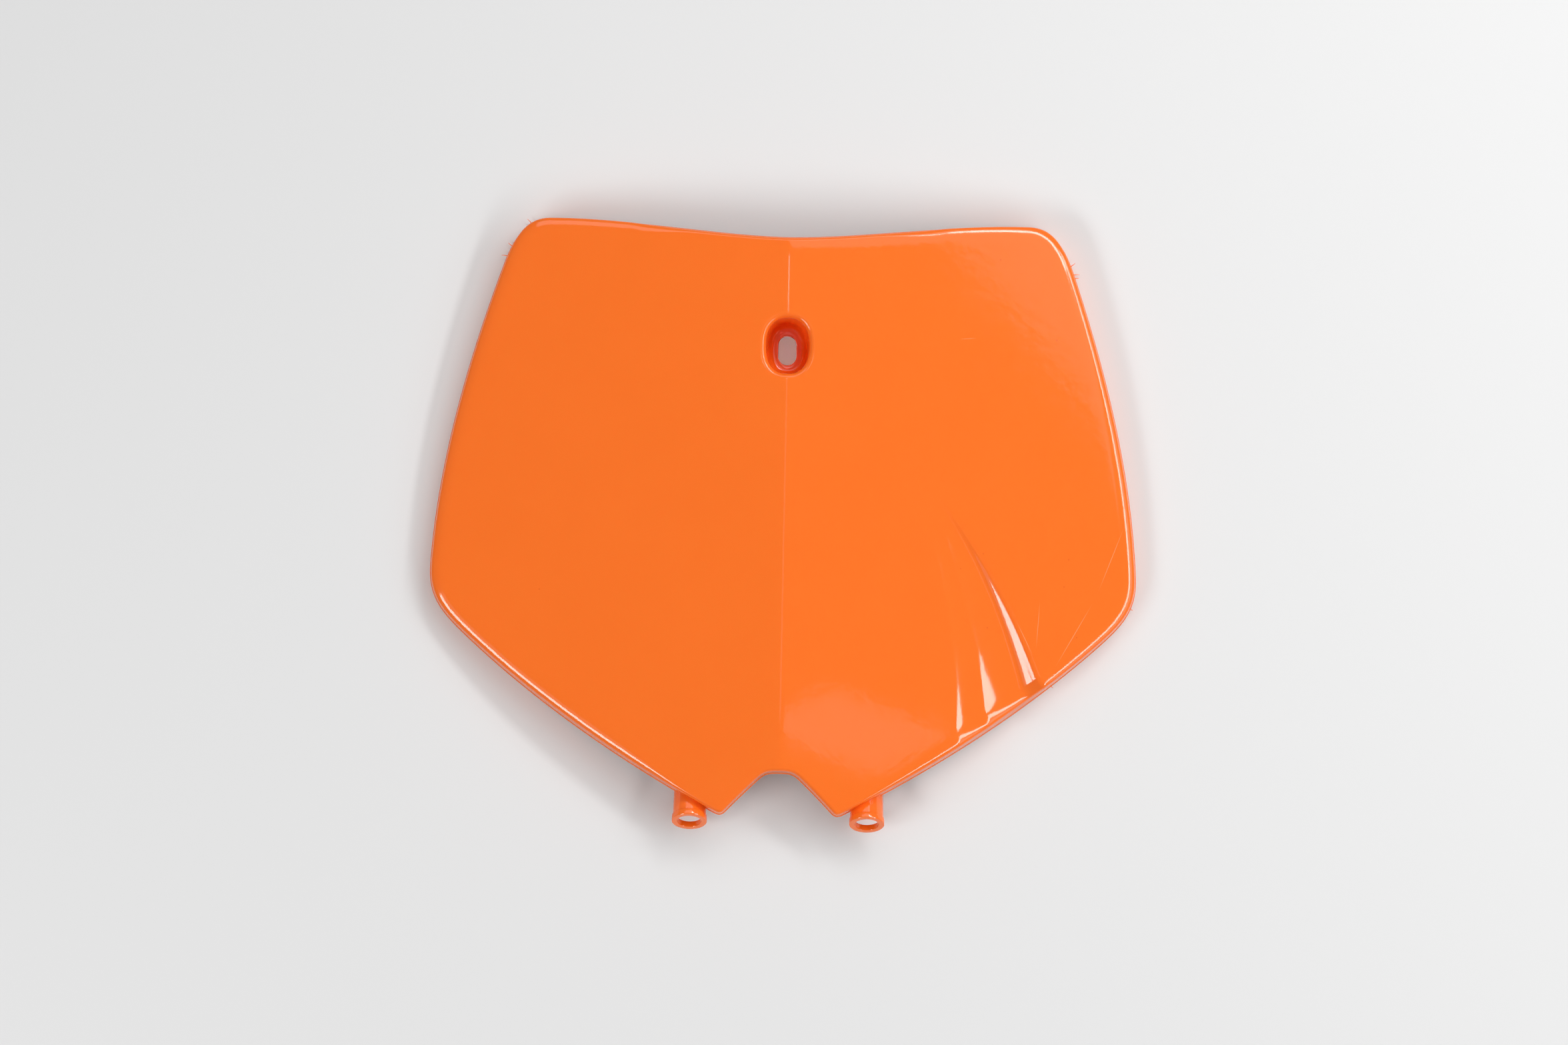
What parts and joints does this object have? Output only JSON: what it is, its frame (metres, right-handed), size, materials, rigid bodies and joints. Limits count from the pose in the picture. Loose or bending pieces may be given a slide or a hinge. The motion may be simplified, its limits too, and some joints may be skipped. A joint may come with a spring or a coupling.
{
  "type": "racing number board",
  "caption": "Glossy orange moulded board that carries a start number, with a centre crease, rolled edge, bolt cup with slot, peg sockets under its legs and a hose channel in one wing",
  "frame": {"origin": "centre of the bounding box's underside: the surface the board lies on, on the crease's line", "axes": "+X across the board from the plain wing to the wing with the hose channel, +Y from the legs to the top edge, +Z out of the face"},
  "size_m": [0.248, 0.2138, 0.023],
  "materials": {
    "orange_plastic": "glossy injection-moulded orange"
  },
  "bodies": {
    "root": {"number_board": "orange_plastic"}
  },
  "joints": []
}
